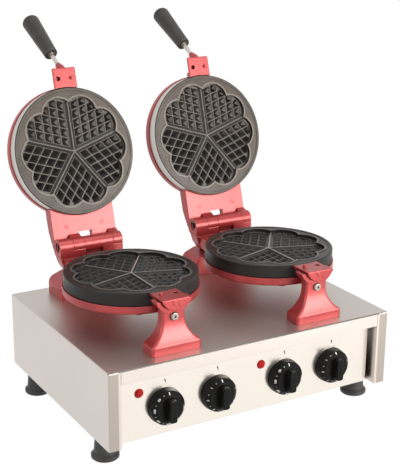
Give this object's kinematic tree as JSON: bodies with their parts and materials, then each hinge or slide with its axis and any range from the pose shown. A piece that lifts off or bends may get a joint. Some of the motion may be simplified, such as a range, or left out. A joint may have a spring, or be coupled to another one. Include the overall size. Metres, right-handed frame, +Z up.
{
  "type": "waffle maker",
  "caption": "Commercial waffle maker: hinged round plates with a heart pattern on a steel cabinet, grips on the lids, dial knobs and pilot lamps on the front.",
  "frame": {"origin": "middle of the footprint of the whole object with the lids open, on the table under the feet", "axes": "+Z up, -Y to the front with the knobs, +X to the right seen from the front"},
  "size_m": [0.554, 0.6192, 0.6527],
  "materials": {
    "stainless": "brushed",
    "zinc": "satin",
    "red_coat": "cast, coated satin metallic red",
    "plate": "cast, dark non-stick coating",
    "element": "matt, oxidised",
    "grip": "satin black",
    "dial": "gloss black",
    "foot": "satin dark grey",
    "lamp": "clear red",
    "inner_plastic": "satin",
    "black_plastic": "satin"
  },
  "bodies": {
    "base": {"housing": "stainless", "control_panel": "stainless", "rear_panel": "stainless", "bottom_plate": "stainless", "foot_front_left": "foot", "foot_front_right": "foot", "foot_rear_left": "foot", "foot_rear_right": "foot", "foot_bolts": "zinc", "pedestal_bolts": "zinc", "lower_plate_screws": "zinc", "cradle_screws": "zinc", "control_nuts": "zinc", "terminal_block": "inner_plastic", "cable_gland": "black_plastic", "gland_nut": "black_plastic", "panel_screws": "zinc", "front_pedestal_left": "red_coat", "rear_pedestal_left": "red_coat", "lower_casting_left": "red_coat", "lower_plate_left": "plate", "lower_heater_left": "element", "thermostat_left": "inner_plastic", "timer_left": "inner_plastic", "lamp_lens_left": "lamp", "lamp_body_left": "inner_plastic", "front_pedestal_right": "red_coat", "rear_pedestal_right": "red_coat", "lower_casting_right": "red_coat", "lower_plate_right": "plate", "lower_heater_right": "element", "thermostat_right": "inner_plastic", "timer_right": "inner_plastic", "lamp_lens_right": "lamp", "lamp_body_right": "inner_plastic"},
    "lid_left": {"upper_casting_left": "red_coat", "upper_plate_left": "plate", "upper_heater_left": "element", "upper_plate_screws_left": "zinc", "hinge_pin_left": "zinc", "handle_rod_left": "zinc", "handle_ferrule_left": "zinc", "handle_grip_left": "grip"},
    "lid_right": {"upper_casting_right": "red_coat", "upper_plate_right": "plate", "upper_heater_right": "element", "upper_plate_screws_right": "zinc", "hinge_pin_right": "zinc", "handle_rod_right": "zinc", "handle_ferrule_right": "zinc", "handle_grip_right": "grip"},
    "thermostat_dial_left": {"thermostat_knob_left": "dial", "thermostat_shaft_left": "zinc"},
    "timer_dial_left": {"timer_knob_left": "dial", "timer_shaft_left": "zinc"},
    "thermostat_dial_right": {"thermostat_knob_right": "dial", "thermostat_shaft_right": "zinc"},
    "timer_dial_right": {"timer_knob_right": "dial", "timer_shaft_right": "zinc"}
  },
  "joints": [
    {"name": "lid_hinge_left", "type": "hinge", "parent": "base", "child": "lid_left", "pos_m": [-0.1405, 0.05759, 0.267], "axis": [1, 0, 0], "range_deg": [0, 107]},
    {"name": "lid_hinge_right", "type": "hinge", "parent": "base", "child": "lid_right", "pos_m": [0.1405, 0.05759, 0.267], "axis": [1, 0, 0], "range_deg": [0, 107]},
    {"name": "thermostat_turn_left", "type": "hinge", "parent": "base", "child": "thermostat_dial_left", "pos_m": [-0.1655, -0.27841, 0.09], "axis": [0, 1, 0], "range_deg": [0, 290]},
    {"name": "timer_turn_left", "type": "hinge", "parent": "base", "child": "timer_dial_left", "pos_m": [-0.0665, -0.27841, 0.09], "axis": [0, 1, 0], "range_deg": [0, 300]},
    {"name": "thermostat_turn_right", "type": "hinge", "parent": "base", "child": "thermostat_dial_right", "pos_m": [0.0665, -0.27841, 0.09], "axis": [0, 1, 0], "range_deg": [0, 290]},
    {"name": "timer_turn_right", "type": "hinge", "parent": "base", "child": "timer_dial_right", "pos_m": [0.1655, -0.27841, 0.09], "axis": [0, 1, 0], "range_deg": [0, 300]}
  ]
}
